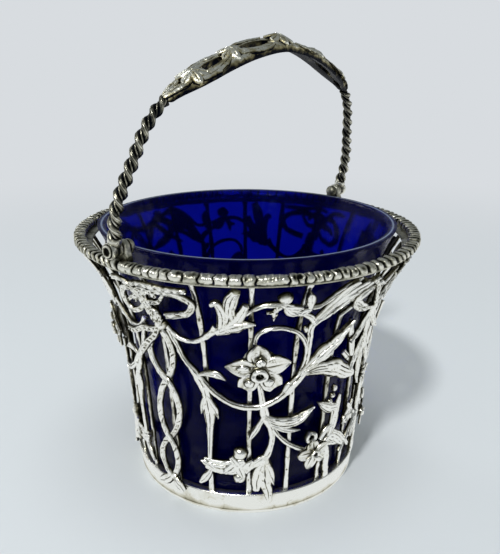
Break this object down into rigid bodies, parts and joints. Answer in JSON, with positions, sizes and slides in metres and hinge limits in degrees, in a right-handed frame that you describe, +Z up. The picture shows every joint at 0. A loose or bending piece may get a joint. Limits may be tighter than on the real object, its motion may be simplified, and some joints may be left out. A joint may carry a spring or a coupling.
{
  "type": "sugar basket",
  "caption": "Round flared sugar basket of openwork silver vines and bars on a foot ring, with a swing handle and a lift-out cobalt glass liner.",
  "frame": {"origin": "centre of the foot ring's underside, on the table", "axes": "+Z up along the axis of the basket, +X along the hinge pins of the handle, which leans towards -Y at rest"},
  "size_m": [0.1038, 0.0988, 0.1282],
  "materials": {
    "silver": "polished silver, dark in the recesses",
    "aged_silver": "worn silver with grey-brown tarnish",
    "cobalt_glass": "clear deep blue glass, ground flat at the rim"
  },
  "bodies": {
    "basket": {"foot_ring": "silver", "base_plate": "silver", "rim_flange": "silver", "rim_border": "silver", "upright_bar_01": "silver", "upright_bar_02": "silver", "upright_bar_03": "silver", "upright_bar_04": "silver", "upright_bar_05": "silver", "upright_bar_06": "silver", "upright_bar_07": "silver", "upright_bar_08": "silver", "upright_bar_09": "silver", "upright_bar_10": "silver", "upright_bar_11": "silver", "upright_bar_12": "silver", "upright_bar_13": "silver", "upright_bar_14": "silver", "upright_bar_15": "silver", "upright_bar_16": "silver", "upright_bar_17": "silver", "upright_bar_18": "silver", "upright_bar_19": "silver", "upright_bar_20": "silver", "vine_panel_1": "silver", "vine_panel_2": "silver", "vine_panel_3": "silver", "vine_panel_4": "silver", "flower_large_1": "silver", "flower_large_2": "silver", "flower_large_3": "silver", "flower_large_4": "silver", "flower_small_1": "silver", "flower_small_2": "silver", "flower_small_3": "silver", "flower_small_4": "silver", "ribbon_drop_far": "silver", "ribbon_drop_near": "silver", "bow_far": "silver", "bow_near": "silver", "side_bow_right": "silver", "side_bow_left": "silver", "rim_lug_far": "silver", "rim_lug_near": "silver", "hinge_pin_far": "silver", "hinge_pin_near": "silver"},
    "handle": {"handle_eye_far": "aged_silver", "handle_eye_near": "aged_silver", "handle_arm_far": "aged_silver", "handle_arm_near": "aged_silver", "handle_arch": "aged_silver", "handle_flower_near": "aged_silver", "handle_flower_middle": "aged_silver", "handle_flower_far": "aged_silver"},
    "liner": {"glass_liner": "cobalt_glass"}
  },
  "joints": [
    {"name": "handle_swing", "type": "hinge", "parent": "basket", "child": "handle", "pos_m": [0, 0, 0.0785], "axis": [1, 0, 0], "range_deg": [-98, 74]},
    {"name": "liner_lift", "type": "slide", "parent": "basket", "child": "liner", "axis": [0, 0, 1], "range_m": [0, 0.02]}
  ]
}
